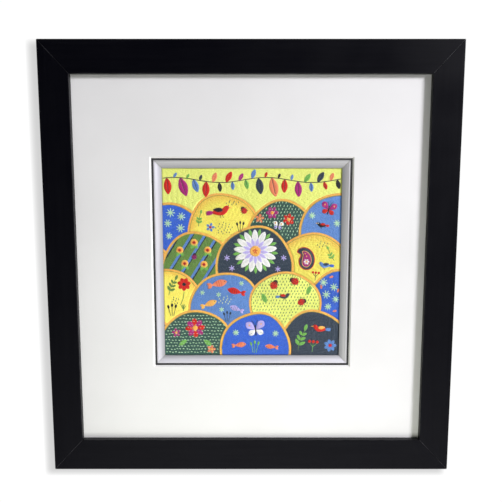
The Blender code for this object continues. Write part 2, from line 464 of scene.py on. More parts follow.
RIM = 2.1
BEDS = [
    dict(x=-86, z=27, r=37, wave=0.3, thread="royal", lay="rows", turn=70, seeds=None),
    dict(x=-29, z=35, r=38, wave=1.9, thread="yellow", lay="arcs", turn=0, seeds=None),
    dict(x=31, z=29, r=37, wave=3.1, thread="forest", lay="arcs", turn=0, seeds="mint"),
    dict(x=87, z=35, r=38, wave=4.4, thread="cornflower", lay="rows", turn=110, seeds=None),
    dict(x=-114, z=-10, r=34, wave=0.9, thread="gold", lay="arcs", turn=0, seeds=None),
    dict(x=-57, z=-5, r=38, wave=2.2, thread="leaf", lay="bands", turn=58, seeds=None),
    dict(x=117, z=-13, r=36, wave=5.2, thread="forest", lay="rows", turn=60, seeds="mint"),
    dict(x=64, z=-5, r=38, wave=0.4, thread="yellow", lay="rows", turn=20, seeds=None),
    dict(x=3, z=-2, r=41, wave=3.9, thread="slate", lay="rows", turn=92, seeds=None),
    dict(x=-89, z=-42, r=37, wave=1.2, thread="yellow", lay="rows", turn=140, seeds=None),
    dict(x=93, z=-44, r=37, wave=2.8, thread="royal", lay="arcs", turn=0, seeds=None),
    dict(x=-28, z=-47, r=38, wave=4.9, thread="cornflower", lay="arcs", turn=0, seeds=None),
    dict(x=35, z=-46, r=38, wave=0.1, thread="lime", lay="arcs", turn=0, seeds="leaf"),
    dict(x=-117, z=-88, r=37, wave=3.3, thread="slate", lay="rows", turn=30, seeds=None),
    dict(x=121, z=-90, r=38, wave=1.5, thread="yellow", lay="arcs", turn=0, seeds=None),
    dict(x=-59, z=-87, r=38, wave=5.8, thread="forest", lay="rows", turn=100, seeds="mint"),
    dict(x=66, z=-88, r=38, wave=2.5, thread="slate", lay="rows", turn=150, seeds=None),
    dict(x=4, z=-90, r=38, wave=4.1, thread="royal", lay="rows", turn=82, seeds=None),
]
BANDS = (("leaf", 8.0), ("black", 1.1), ("cornflower", 2.6))


def bed_radius(bed, angle):
    """The scallop's edge is a circle drawn by hand: two slow waves on its radius."""
    sway = 0.022 * np.sin(3 * angle + bed["wave"]) + 0.013 * np.sin(5 * angle + 2 * bed["wave"])
    return bed["r"] * (1 + sway)


print(len(BEDS), "beds and", len(THREADS), "threads")

# %% [markdown]
# ## Marking out the cloth
# A stitcher draws the beds on the cloth before threading a needle. Here the marking is a fine grid of
# numbers: 0 is the open ground above the beds, an odd number is a bed's field and the even number after
# it is that bed's rim. Later steps only ask which number lies under a point.

# %% Mark out
MARK_STEP = 0.25
mark_x = np.arange(-half_wide, half_wide, MARK_STEP) + MARK_STEP / 2
mark_z = np.arange(-half_high, half_high, MARK_STEP) + MARK_STEP / 2
marks = np.zeros((len(mark_z), len(mark_x)), np.int16)
for number, bed in enumerate(BEDS):
    off_x = mark_x[None, :] - bed["x"]
    off_z = mark_z[:, None] - bed["z"]
    inside_by = bed_radius(bed, np.arctan2(off_z, off_x)) - np.hypot(off_x, off_z)
    marks[inside_by > 0] = 2 * number + 2
    marks[inside_by > RIM] = 2 * number + 1
OUTSIDE = -1


def mark_at(x, z):
    """The mark under each point, or OUTSIDE where the point is past the opening."""
    column = np.floor((np.asarray(x) + half_wide) / MARK_STEP).astype(int)
    row = np.floor((np.asarray(z) + half_high) / MARK_STEP).astype(int)
    good = (column >= 0) & (column < len(mark_x)) & (row >= 0) & (row < len(mark_z))
    found = np.full(column.shape, OUTSIDE)
    found[good] = marks[row[good], column[good]]
    return found


def thread_of(mark):
    """The thread that fills a mark: lime on the open ground, gold on a rim, or the bed's own."""
    if mark <= 0:
        return "lime"
    return "gold" if mark % 2 == 0 else BEDS[(mark - 1) // 2]["thread"]


ground_shares = dict.fromkeys(THREADS, 0.0)
for mark in np.unique(marks):
    ground_shares[thread_of(int(mark))] += float((marks == mark).mean())
print("ground shares:", {name: round(part, 2) for name, part in ground_shares.items() if part})

# %% [markdown]
# ## The ground cloth
# Under the stitches lies a plain-woven silk, stretched flat and tinted bed by bed, so that no pale ground
# glints between strands. It is a thin closed sheet with a fine grid in the opening, where it is seen. The
# tint is stored as a colour attribute on its points. Stretched cloth is never quite flat, so the front
# swells by a few hundredths of a millimetre. The weave itself is bump: two crossing sets of yarns. The
# sheet's own sizes are in millimetres, like the design's.

# %% Ground cloth
GRID_STEP = 1.0
SHEET_THICK = 1.0
FRONT_SINK = 0.08
SWELL = 0.03
YARNS_PER_METRE = 2400.0
cloth_wide = (cloth_high.x - cloth_low.x) / MM
cloth_tall = (cloth_high.z - cloth_low.z) / MM


def grid_line(half, outer):
    """Even places across the opening, and one more at each edge of the sheet."""
    inner = np.linspace(-half, half, int(round(2 * half / GRID_STEP)) + 1)
    return np.concatenate([[-outer], inner, [outer]])


def make_ground():
    """The sheet as a closed mesh, with its dye: a fine front, a plain back and a rim between them."""
    xs = grid_line(half_wide, cloth_wide / 2)
    zs = grid_line(half_high, cloth_tall / 2)
    x, z = np.meshgrid(xs, zs)
    swell = SWELL * np.sin(x / 17.0 + 1.0) * np.sin(z / 23.0 + 0.4)
    swell[[0, -1], :] = 0
    swell[:, [0, -1]] = 0
    front = cloth_front / MM + FRONT_SINK + swell
    count = x.size
    points = np.stack([x + middle_x / MM, front, z + middle_z / MM], axis=-1).reshape(-1, 3) * MM
    back = points.copy()
    back[:, 1] = cloth_front + SHEET_THICK * MM
    index = np.arange(count).reshape(x.shape)
    a, b = index[:-1, :-1].ravel(), index[:-1, 1:].ravel()
    c, d = index[1:, 1:].ravel(), index[1:, :-1].ravel()
    faces = [tuple(quad) for quad in np.stack([a, b, c, d], axis=1)]
    rim = np.concatenate([index[0, :], index[1:, -1], index[-1, -2::-1], index[-2:0:-1, 0]])
    corner_back = {int(i): count + n for n, i in enumerate(rim)}
    for n, i in enumerate(rim):
        j = rim[(n + 1) % len(rim)]
        faces.append((int(j), int(i), corner_back[int(i)], corner_back[int(j)]))
    faces.append(tuple(corner_back[int(i)] for i in rim[::-1]))
    mesh = bpy.data.meshes.new("ground_cloth")
    mesh.from_pydata(np.concatenate([points, back[rim]]).tolist(), [], faces)
    colours = np.ones((len(mesh.vertices), 4), np.float32)
    found = np.where(mark_at(x, z) < 0, 0, mark_at(x, z)).ravel()
    for mark in np.unique(found):
        colours[:count][found == mark] = linear(THREADS[thread_of(int(mark))][1])
    colours[count:] = linear("E8E4DA")
    layer = mesh.color_attributes.new("dye", "FLOAT_COLOR", "POINT")
    layer.data.foreach_set("color", colours.ravel())
    return mesh


def make_silk_ground():
    material, tree, shader = start("ground_silk", Roughness=0.62, Sheen_Weight=0.25, Sheen_Roughness=0.4)
    place = xyz(tree, object_place(tree))
    turns = 2 * math.pi * YARNS_PER_METRE / 2
    warp = maths(tree, "SINE", maths(tree, "MULTIPLY", place["X"], turns))
    weft = maths(tree, "SINE", maths(tree, "MULTIPLY", place["Z"], turns))
    weave = maths(tree, "MULTIPLY", warp, weft)
    slub = noise(tree, object_place(tree, (30, 1, 900)), 1.0, 3.0)
    dye = add(tree, "ShaderNodeAttribute", attribute_name="dye").outputs["Color"]
    colour = blend_colours(tree, spread(tree, slub, 0.3, 0.7, 0.0, 0.25), dye, linear("C8BC90"))
    feed(tree, shader, Base_Color=colour, Normal=bump(tree, weave, 0.5, 0.0001))
    return material


ground_mesh = make_ground()
ground_mesh.materials.append(make_silk_ground())
ground = put_in_scene("ground_cloth", ground_mesh)
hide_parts("embroidered_cloth")
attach(ground, "root")
print("ground cloth %.0f x %.0f mm, %d points" % (cloth_wide, cloth_tall, len(ground_mesh.vertices)))

# %% [markdown]
# ## Planning stitches
# A stitch is a short line of thread between two needle holes. The plan is one list for each thread, with
# the two ends of every stitch, its thickness in millimetres, the layer that it lies in, and how far its
# colour leans to the thread's deeper shade. Layer 0 is the filling, and 1 lies just under half a
# millimetre above it. Rows are broken like bricks, so that no holes line up. One generator with a fixed
# seed makes every small irregularity, so the plan is the same each time.

# %% The stitch plan
STRAND = 0.60
ROW_STEP = 0.44
OVERLAP = 0.40
UNEVEN = 0.04
SHORTEST_RUN = 0.7
HIDDEN_START = (3.6, 5.8)
SEED_PITCH = 3.3
SEED_LENGTH = 1.7
SEED_GIRTH = 0.9
SEED_LAYER = 0.30
rng = np.random.default_rng(11)
plan = {name: [] for name in THREADS}


def stitch(thread, x0, z0, x1, z1, layer=0.0, girth=STRAND, shade=0.0):
    """Adds one stitch to its thread's list."""
    plan[thread].append((x0, z0, x1, z1, layer, girth, shade))


def break_run(length, usual=5.4, least=2.4):
    """Cuts a run into overlapping stitches: (start, end) pairs, with a random first one."""
    cuts = [0.0]
    step = usual * rng.uniform(0.35, 1.0)
    while cuts[-1] + step < length - least:
        cuts.append(cuts[-1] + step)
        step = usual * rng.uniform(0.78, 1.18)
    cuts.append(length)
    return [(max(s - OVERLAP, 0), min(e + OVERLAP, length)) for s, e in zip(cuts, cuts[1:])]


def runs_of(good):
    """First and last index of each stretch where the flag is set."""
    flags = np.concatenate([[False], good, [False]]).astype(int)
    change = np.diff(flags)
    return list(zip(np.where(change == 1)[0], np.where(change == -1)[0] - 1))


def run_and_side(turn):
    """The direction at this angle in degrees, and the one square to it."""
    run = np.array([math.cos(math.radians(turn)), math.sin(math.radians(turn))])
    return run, np.array([-run[1], run[0]])


def fill_rows(mark, thread_at, turn, shade_at, reach=150.0):
    """Straight rows over one mark. thread_at picks the thread from a row's distance across."""
    run, side = run_and_side(turn)
    along = np.arange(-reach, reach, MARK_STEP)
    for across in np.arange(-reach, reach, ROW_STEP):
        x, z = along * run[0] + across * side[0], along * run[1] + across * side[1]
        for first, last in runs_of(mark_at(x, z) == mark):
            length = (last - first) * MARK_STEP
            if length < SHORTEST_RUN:
                continue
            for s, e in break_run(length):
                a = run * (along[first] + s) + side * across
                b = run * (along[first] + e) + side * across
                lift = rng.uniform(-UNEVEN, UNEVEN)
                stitch(thread_at(across), *a, *b, lift, STRAND, shade_at(*((a + b) / 2)))


def fill_arcs(bed, mark, thread, depth_from, depth_to, shade_at, layer=0.0, usual=4.8):
    """Rows that follow a scallop's edge, from one depth inside it to another.

    A row goes right round and begins low down, at an angle where the beds in front hide it.
    """
    for depth in np.arange(depth_from, depth_to, ROW_STEP):
        usual_radius = bed["r"] - depth
        if usual_radius < 1.0:
            break
        angle = np.arange(0, 2 * math.pi, MARK_STEP / usual_radius) + rng.uniform(*HIDDEN_START)
        radius = np.maximum(bed_radius(bed, angle) - depth, 0.3)
        x, z = bed["x"] + radius * np.cos(angle), bed["z"] + radius * np.sin(angle)
        for first, last in runs_of(mark_at(x, z) == mark):
            length = (last - first) * MARK_STEP
            if length < SHORTEST_RUN:
                continue
            for s, e in break_run(length, min(usual, 0.25 * usual_radius + 1.2), 1.8):
                i = first + int(s / MARK_STEP)
                j = min(first + int(math.ceil(e / MARK_STEP)), len(x) - 1)
                lift = layer + rng.uniform(-UNEVEN, UNEVEN)
                stitch(thread, x[i], z[i], x[j], z[j], lift, STRAND, shade_at(x[i], z[i]))


def fill_seeds(mark, thread, turn, clear=1.2):
    """Small scattered stitches in staggered rows, on top of the filling and clear of the rim."""
    for n, z_row in enumerate(np.arange(-half_high, half_high, SEED_PITCH)):
        for x_place in np.arange(-half_wide, half_wide, SEED_PITCH) + (n % 2) * SEED_PITCH / 2:
            x = x_place + rng.uniform(-0.5, 0.5)
            z = z_row + rng.uniform(-0.45, 0.45)
            angle = math.radians(turn + rng.uniform(-14, 14))
            dx, dz = math.cos(angle) * SEED_LENGTH / 2, math.sin(angle) * SEED_LENGTH / 2
            around_x = [x - 1.3 * dx, x + 1.3 * dx, x, x]
            around_z = [z - 1.3 * dz, z + 1.3 * dz, z + clear, z - clear]
            if (mark_at(around_x, around_z) == mark).all():
                shade = rng.uniform(0, 0.6)
                stitch(thread, x - dx, z - dz, x + dx, z + dz, SEED_LAYER, SEED_GIRTH, shade)


print("planner ready")

# %% [markdown]
# ## Filling ground, fields and rims
# The open ground above the beds is worked in long level rows. Each bed's field then follows its own lay,
# warm fields lean to their deeper shade near the rim, and every rim is a few rows of gold that follow the
# scallop's edge, with one fine olive line on its inner side.

# %% Fill the beds
GROUND_TURN = 1.5
FINE_LINE = (RIM + 0.35, RIM + 0.45)


def edge_shade(bed, reach=10.0):
    """Leans to the deeper shade near the rim and the neighbouring beds."""
    def shade(x, z):
        angle = math.atan2(z - bed["z"], x - bed["x"])
        inside_by = bed_radius(bed, angle) - RIM - math.hypot(x - bed["x"], z - bed["z"])
        near_rim = float(np.clip(1.0 - inside_by / reach, 0, 1))
        return near_rim ** 1.5 + rng.uniform(0, 0.12)
    return shade


def even_shade(most):
    """Leans to the deeper shade by chance alone, the same everywhere."""
    return lambda *place: rng.uniform(0, most)


def band_thread(across):
    """The thread of a row in a banded field."""
    place = across % sum(width for name, width in BANDS)
    for name, width in BANDS:
        if place < width:
            return name
        place -= width
    return BANDS[0][0]


fill_rows(0, lambda across: "lime", GROUND_TURN, even_shade(0.2))
for number, bed in enumerate(BEDS):
    field, rim = 2 * number + 1, 2 * number + 2
    name = bed["thread"]
    shade_at = edge_shade(bed) if name in ("yellow", "gold") else even_shade(0.35)
    if bed["lay"] == "arcs":
        fill_arcs(bed, field, name, RIM, bed["r"], shade_at)
    elif bed["lay"] == "bands":
        fill_rows(field, band_thread, bed["turn"], shade_at)
    else:
        fill_rows(field, lambda across: name, bed["turn"], shade_at)
    fill_arcs(bed, rim, "gold", 0.2, RIM, even_shade(0.5), layer=0.05, usual=5.5)
    fill_arcs(bed, field, "olive", *FINE_LINE, even_shade(0.5), layer=0.20, usual=2.8)
    if bed["seeds"]:
        fill_seeds(field, bed["seeds"], bed["turn"] + 75)
print("filling stitches:", sum(len(rows) for rows in plan.values()))

# %% [markdown]
# ## Satin shapes
# Motifs are worked in satin stitch: parallel strands that run from one edge of a shape to the other. A
# shape is a closed outline of points. To find the strands, the outline is turned so that they lie level,
# each level line is crossed with it, and each pair of crossings is a stitch. A long one is broken in two,
# with an overlap. Padding stitches cross beneath, so no ground shows between the strands.

# %% Satin and line stitches
SATIN_STEP = 0.42
SATIN_OVERLAP = 0.5
SHORTEST_STRAND = 0.3
PADDING_STEP = 0.8
PADDING_INSET = 0.35
PADDING_SINK = 0.16
PADDING_GIRTH = 0.95


def in_opening(*ends):
    """Whether all these points, given as x, z, x, z and so on, lie in the opening."""
    return not (mark_at(ends[::2], ends[1::2]) == OUTSIDE).any()


def hatch(outline, turn, step, inset=0.0):
    """Level lines across a closed outline, at this angle in degrees: start and end point of each."""
    outline = np.asarray(outline, float)
    run, side = run_and_side(turn)
    along, across = outline @ run, outline @ side
    next_along, next_across = np.roll(along, -1), np.roll(across, -1)
    lines = []
    for level in np.arange(across.min() + step / 2, across.max(), step):
        crossing = (across > level) != (next_across > level)
        share = (level - across[crossing]) / (next_across[crossing] - across[crossing])
        cuts = np.sort(along[crossing] + share * (next_along[crossing] - along[crossing]))
        for a, b in zip(cuts[::2] + inset, cuts[1::2] - inset):
            if b - a > SHORTEST_STRAND:
                lines.append((run * a + side * level, run * b + side * level))
    return lines


def satin(outline, turn, thread, layer=0.34, longest=9.0, deepest=0.3):
    """Fills a closed outline, over padding stitches that cross beneath. Long strands are broken."""
    for a, b in hatch(outline, turn + 90, PADDING_STEP, PADDING_INSET):
        if in_opening(*a, *b):
            stitch(thread, *a, *b, layer - PADDING_SINK, PADDING_GIRTH, 0.5)
    for a, b in hatch(outline, turn, SATIN_STEP):
        length = float(np.hypot(*(b - a)))
        breaks = [0.0, 1.0]
        if length > longest:
            breaks.insert(1, rng.uniform(0.3, 0.7))
        for s, e in zip(breaks, breaks[1:]):
            s, e = max(s - SATIN_OVERLAP / length, 0), min(e + SATIN_OVERLAP / length, 1)
            start_point, end_point = a + (b - a) * s, a + (b - a) * e
            if in_opening(*start_point, *end_point):
                lift = layer + rng.uniform(-0.03, 0.03)
                stitch(thread, *start_point, *end_point, lift, STRAND, rng.uniform(0, deepest))


def line(points, thread, layer=0.4, size=2.4, girth=0.7):
    """Stem stitch along a path: short stitches, each starting half way along the one before."""
    points = np.asarray(points, float)
    steps = np.hypot(*np.diff(points, axis=0).T)
    run = np.concatenate([[0], np.cumsum(steps)])
    for s in np.arange(0, run[-1] - size * 0.4, size * 0.55):
        e = min(s + size, run[-1])
        x0, x1 = np.interp([s, e], run, points[:, 0])
        z0, z1 = np.interp([s, e], run, points[:, 1])
        if in_opening(x0, z0, x1, z1):
            stitch(thread, x0, z0, x1, z1, layer, girth, rng.uniform(0, 0.5))


def golden_spread(count):
    """Places spread evenly over a disc of radius 1: each turns on by the golden angle."""
    for n in range(count):
        r, a = math.sqrt((n + 0.5) / count), n * math.pi * (3 - math.sqrt(5))
        yield r * math.cos(a), r * math.sin(a)


def knots(x, z, radius, count, thread, layer=0.75, size=0.75):
    """French knots: tight round dots, spread over a disc."""
    for across, up in golden_spread(count):
        cx, cz = x + radius * across, z + radius * up
        if in_opening(cx, cz):
            stitch(thread, cx - size / 2, cz, cx + size / 2, cz, layer, size * 1.3, rng.uniform(0, 1))


def turned(shape, x, z, turn, scale=1.0):
    """A shape drawn about the origin, scaled, turned and moved to its place."""
    c, s = math.cos(math.radians(turn)), math.sin(math.radians(turn))
    across, up = (np.asarray(shape, float) * scale).T
    return np.stack([x + across * c - up * s, z + across * s + up * c], axis=1)


def sew(shape, x, z, turn, thread, layer=0.34, slant=0.0):
    """Sets a shape in its place and works it in satin, slanted from its own axis."""
    satin(turned(shape, x, z, turn), turn + slant, thread, layer)


def petal(length, width, fullness=0.75, base=0.0, lean=1.0):
    """A petal along +X. Fullness under 1 makes it rounder, lean over 1 widest past the middle."""
    t = np.linspace(0, 1, 17)
    half = width / 2 * np.sin(math.pi * t ** lean) ** fullness
    upper = np.stack([base + length * t, half], axis=1)
    return np.concatenate([upper, (upper * (1, -1))[::-1][1:-1]])


def disc(radius, flat=1.0):
    """A round outline, or an oval one where flat isn't 1."""
    t = np.linspace(0, 2 * math.pi, 25)[:-1]
    return np.stack([radius * np.cos(t), radius * flat * np.sin(t)], axis=1)


def smooth_outline(points, steps=5):
    """A closed curve that passes smoothly through a few hand-set points."""
    here = np.asarray(points, float)
    before, after, beyond = (np.roll(here, places, axis=0) for places in (1, -1, -2))
    parts = []
    for t in np.arange(steps) / steps:
        curve = 2 * here + (after - before) * t
        curve = curve + (2 * before - 5 * here + 4 * after - beyond) * t ** 2
        curve = curve + (3 * here - before - 3 * after + beyond) * t ** 3
        parts.append(curve / 2)
    return np.stack(parts, axis=1).reshape(-1, 2)


print("satin ready")

# %% [markdown]
# ## Motifs
# Flowers, leaves, birds, fish, butterflies, beetles and reeds are all built from petals, discs and lines.
# Each motif is a function with a place, a turn, a size in millimetres and its threads, so one drawing
# serves many times. Its parts are drawn as shares of that size. Each part names the layer that it lies
# in, because real satin petals overlap.

# %% Motif functions
BIRD_BODY = ((0.45, 0.12), (0.38, 0.20), (0.27, 0.19), (0.15, 0.11), (-0.06, 0.10), (-0.27, 0.04),
             (-0.27, -0.04), (-0.08, -0.13), (0.12, -0.16), (0.28, -0.10), (0.39, 0.02))


def leaf(x, z, turn, size, thread, vein=None):
    """Two halves worked in a slant from the midrib, as a fishbone."""
    shape = petal(size, size * 0.46, 0.8)
    for side in (1, -1):
        half = shape[shape[:, 1] * side >= -1e-9]
        if side < 0:
            half = np.concatenate([half, shape[:1]])
        sew(half, x, z, turn, thread, slant=side * 38)
    if vein:
        line(turned([(0, 0), (0.85, 0)], x, z, turn, size), vein, 0.5, 1.8, 0.55)


def flower(x, z, petals, size, thread, heart, width=0.55, start_turn=0.0, second=None, lift=0.0):
    """A ring of petals, every other one in a second thread if there is one, round a knotted heart."""
    shape = petal(size * 0.86, size * width, 0.62, size * 0.14, 1.3)
    for n in range(petals):
        name = second if second and n % 2 else thread
        sew(shape, x, z, start_turn + 360 * n / petals, name, lift + 0.34 + 0.05 * (n % 2))
    sew(disc(size * 0.26), x, z, 0, heart, lift + 0.62, 90 * (petals % 2))
    knots(x, z, size * 0.18, 7, heart, lift + 0.8)


def sun_flower(x, z, size):
    """A gold ring round a red heart, with two small leaves."""
    for turn in (-62, -118):
        leaf(x, z, turn, size * 2.0, "bright_green")
    sew(disc(size), x, z, 0, "gold", 0.44, 30)
    sew(disc(size * 0.5), x, z, 0, "red", 0.68, 90)
    knots(x, z, size * 0.2, 3, "black", 0.85, 0.7)


def star(x, z, size, thread, arms=8, turn=0.0):
    """Straight stitches that cross in the middle."""
    for n in range(arms):
        a = math.radians(turn + 360 * n / arms)
        for side in (-0.22, 0.22):
            x0, z0 = x - side * math.sin(a), z + side * math.cos(a)
            x1, z1 = x0 + size * math.cos(a), z0 + size * math.sin(a)
            if in_opening(x0, z0, x1, z1):
                stitch(thread, x0, z0, x1, z1, 0.42, 0.55, rng.uniform(0, 0.6))
    knots(x, z, 0.3, 1, thread, 0.8, 0.9)


def bird(x, z, size, body, wing, tail, tilt=0, facing=1):
    """A small bird in profile: tail feathers, legs, plump body, folded wing and beak."""
    turn = tilt if facing > 0 else 180 - tilt

    def put(shape):
        return turned(np.asarray(shape, float) * (1, facing), x, z, turn, size)

    for swing in (170, 180, 190):
        satin(put(turned(petal(0.36, 0.10, 0.6), -0.19, 0, swing)), turn + swing * facing, tail)
    for leg in (0.02, 0.12):
        line(put([(leg, -0.12), (leg + 0.03, -0.27)]), "black", 0.36, 1.8, 0.5)
    satin(put(smooth_outline(BIRD_BODY)), turn + 14 * facing, body, 0.42)
    satin(put(turned(petal(0.40, 0.19, 0.7, 0, 0.75), 0.17, 0.04, 170)), turn + 162 * facing, wing, 0.66)
    satin(put([(0.43, 0.155), (0.57, 0.10), (0.43, 0.08)]), turn, "gold", 0.55)
    knots(*put([(0.36, 0.135)])[0], 0.1, 1, "white" if body == "black" else "black", 0.9, 0.65)


def fish(x, z, turn, size, body, stripe):
    """A slim body with three stripes, a forked tail and an eye."""
    sew(petal(size, size * 0.44, 0.75, 0, 1.2), x, z, turn, body, slant=90)
    fin = petal(size * 0.36, size * 0.2, 0.8, -size * 0.03)
    for side in (152, 208):
        sew(fin, x, z, turn + side, body, 0.38)
    for along in (0.34, 0.48, 0.62):
        line(turned([(along, -0.17), (along, 0.17)], x, z, turn, size), stripe, 0.55, 1.6, 0.5)
    knots(*turned([(0.84, 0.04)], x, z, turn, size)[0], 0.1, 1, "black", 0.7, 0.65)


def butterfly(x, z, turn, size, upper, lower):
    """Two pairs of spotted wings, two feelers and a dark body."""
    back_wing = petal(size * 0.74, size * 0.50, 0.7, 0, 1.5)
    front_wing = petal(size * 1.05, size * 0.62, 0.7, 0, 1.7)
    for side in (1, -1):
        back, front = turn + side * 122, turn + side * 48
        sew(back_wing, x, z, back, lower, 0.36)
        sew(front_wing, x, z, front, upper, 0.44)
        knots(*turned([(0.70, 0)], x, z, front, size)[0], 0.7, 4, "gold", 0.75, 0.7)
        for dot in turned([(0.5, 0), (0.66, 0)], x, z, back, size):
            knots(*dot, 0.2, 1, "black", 0.7, 0.6)
        feeler = [(0.1, 0), (0.6, side * 0.10), (0.85, side * 0.26)]
        line(turned(feeler, x, z, turn, size), "black", 0.6, 1.6, 0.45)
    line(turned([(-0.5, 0), (0.4, 0)], x, z, turn, size), "black", 0.75, 2.0, 1.2)


def beetle(x, z, turn, size, shell="red"):
    """A round beetle with black dots, six short legs and a black head."""
    for along in (-0.25, 0.02, 0.29):
        line(turned([(along, -0.62), (along, 0.62)], x, z, turn, size), "black", 0.3, 1.9, 0.45)
    head = turned([(0.42, 0)], x, z, turn, size)[0]
    sew(disc(size * 0.3), *head, turn, "black", 0.40, 90)
    sew(disc(size * 0.5, 0.86), x, z, turn, shell, 0.48, 90)
    line(turned([(-0.45, 0), (0.45, 0)], x, z, turn, size), "black", 0.70, 1.5, 0.5)
    for dot in turned([(0.2, 0.22), (-0.14, 0.25), (0.2, -0.22), (-0.14, -0.25)], x, z, turn, size):
        knots(*dot, 0.1, 1, "black", 0.8, 0.75)


def curled_spine(along):
    """Place and heading at some shares of a line of length 1 that curls over towards its end."""
    fine = np.linspace(0, 1, 81)
    heading = math.radians(165) * fine ** 2.2
    steps = np.stack([np.cos(heading), np.sin(heading)], axis=1) / (len(fine) - 1)
    spine = np.concatenate([[(0, 0)], np.cumsum(steps, axis=0)[:-1]])
    places = np.stack([np.interp(along, fine, spine[:, 0]), np.interp(along, fine, spine[:, 1])], axis=1)
    return places, np.interp(along, fine, heading)


def curled_drop(first, last, fullness):
    """Outline of a drop that lies on the curled line, from one share of its length to another."""
    t = np.linspace(0, 1, 31)
    places, heading = curled_spine(first + (last - first) * t)
    half = fullness * np.sqrt(t) * (1 - t) ** 0.9
    out = np.stack([-half * np.sin(heading), half * np.cos(heading)], axis=1)
    return np.concatenate([places + out, (places - out)[::-1][1:-1]])


def paisley(x, z, turn, size, outer, middle, edge):
    """A drop with a curled tip: two nested drops, an edge of stem stitch and a flower in its heart."""
    whole = turned(curled_drop(0, 1, 0.75), x, z, turn, size)
    inside = turned(curled_drop(0.10, 0.80, 0.44), x, z, turn, size)
    satin(whole, turn + 70, outer, 0.36, 12.0)
    satin(inside, turn - 40, middle, 0.54, 8.0)
    line(np.concatenate([whole, whole[:1]]), edge, 0.60, 2.0, 0.8)
    line(np.concatenate([inside, inside[:1]]), "gold", 0.70, 2.0, 0.6)
    dots = turned(curled_spine([0.31, 0.53, 0.64])[0], x, z, turn, size)
    flower(*dots[0], 6, size * 0.115, "white", "gold", lift=0.34)
    for dot in dots[1:]:
        knots(*dot, 0.4, 3, "gold", 0.85, 0.7)


def sprig(x, z, turn, size, stem, leaves, pairs=3, leaf_size=0.34):
    """A stem with paired leaves and one at the tip."""
    bow = np.stack([np.linspace(0, size, 9), 0.06 * size * np.sin(np.linspace(0, math.pi, 9))], axis=1)
    line(turned(bow, x, z, turn), stem, 0.45, 2.2, 0.65)
    for n in range(pairs):
        place = turned([bow[2 + 2 * n]], x, z, turn)[0]
        for side in (46, -46):
            leaf(*place, turn + side, size * leaf_size * (1 - 0.12 * n), leaves)
    leaf(*turned([bow[-1]], x, z, turn)[0], turn, size * leaf_size, leaves)


def berries(x, z, turn, size, fruit, stem="black"):
    """A forked twig with a round berry at each tip."""
    line(turned([(0, 0), (0.5, 0)], x, z, turn, size), stem, 0.42, 2.0, 0.55)
    for side in (-0.34, 0.0, 0.34):
        line(turned([(0.45, 0), (0.85, side)], x, z, turn, size), stem, 0.42, 2.0, 0.5)
        tip = turned([(0.93, side)], x, z, turn, size)[0]
        sew(disc(size * 0.13), *tip, 0, fruit, 0.44, 40)


def grass(x, z, size, blades, thread):
    """A fan of straight blades."""
    for n in range(blades):
        a = math.radians(90 + (n - (blades - 1) / 2) * 11)
        tip_x = x + size * math.cos(a) * rng.uniform(0.7, 1.0)
        tip_z = z + size * math.sin(a) * rng.uniform(0.7, 1.0)
        line([(x + (n - blades / 2) * 0.25, z), (tip_x, tip_z)], thread, 0.42, 4.0, 0.6)


def reeds(x, z, size, count, thread="black"):
    """Upright stems, each with a plump head."""
    for n in range(count):
        swing = n - (count - 1) / 2
        foot = (x + swing * size * 0.12, z)
        turn = 90 - swing * 13
        height = size * (0.62 + 0.12 * ((n * 2) % 3) / 2)
        line(turned([(0, 0), (height, 0)], *foot, turn), thread, 0.42, 2.4, 0.55)
        sew(petal(size * 0.30, size * 0.15, 0.5, height), *foot, turn, thread, 0.46, 90)


def specks(x, z, wide, high, count, thread):
    """Short upright stitches scattered over an oval, as far as it lies on the same bed."""
    home = mark_at([x], [z])[0]
    for across, up in golden_spread(count):
        cx = x + wide / 2 * across + rng.uniform(-0.25, 0.25)
        cz = z + high / 2 * up + rng.uniform(-0.25, 0.25)
        lean = rng.uniform(-0.2, 0.2)
        if (mark_at([cx - lean, cx + lean], [cz - 1.2, cz + 1.2]) == home).all():
            stitch(thread, cx - lean, cz - 0.7, cx + lean, cz + 0.7, 0.32, 0.75, rng.uniform(0, 0.6))


print("motifs ready")

# %% [markdown]
# ## Setting the motifs in the garden
# Along the top hangs a garland of leaves. Below it each bed gets its own small theme, and the slate bed
# in the middle holds the one large pale flower, about a quarter of the picture wide. Places and turns
# were chosen bed by bed. Tufts of specks and a few dark reeds fill the quieter corners.

# %% Place the motifs
GARLAND_HEIGHT = 86.5
GARLAND_SAG = 2.6
GARLAND_WAVE = 15.0
GARLAND_PITCH = 6.7
GARLAND_THREADS = ("red", "cornflower", "magenta", "bright_green", "cornflower",
                   "slate", "red", "salmon", "black")
GARLAND_SIZES = (17.0, 9.5, 20.0, 8.5, 14.0, 10.0, 16.0)
BIG_PETALS = 13
BIG_TURN = 8


def garland_height(x):
    """How high the garland's line hangs at this place across."""
    return GARLAND_HEIGHT + GARLAND_SAG * np.sin(x / GARLAND_WAVE + 0.6)


def garland():
    """A wavy black line, with long leaves hanging down and shorter ones standing up in turn."""
    x = np.linspace(-half_wide + 1, half_wide - 1, 60)
    line(np.stack([x, garland_height(x)], axis=1), "black", 0.4, 2.6, 0.8)
    for n, place in enumerate(np.arange(-87, 89, GARLAND_PITCH)):
        thread, size = GARLAND_THREADS[n % len(GARLAND_THREADS)], GARLAND_SIZES[n % len(GARLAND_SIZES)]
        turn, scale, vein = (-82, 1.0, "black") if n % 2 == 0 else (66, 0.62, None)
        leaf(place, garland_height(place), turn + rng.uniform(-12, 12), size * scale, thread, vein)


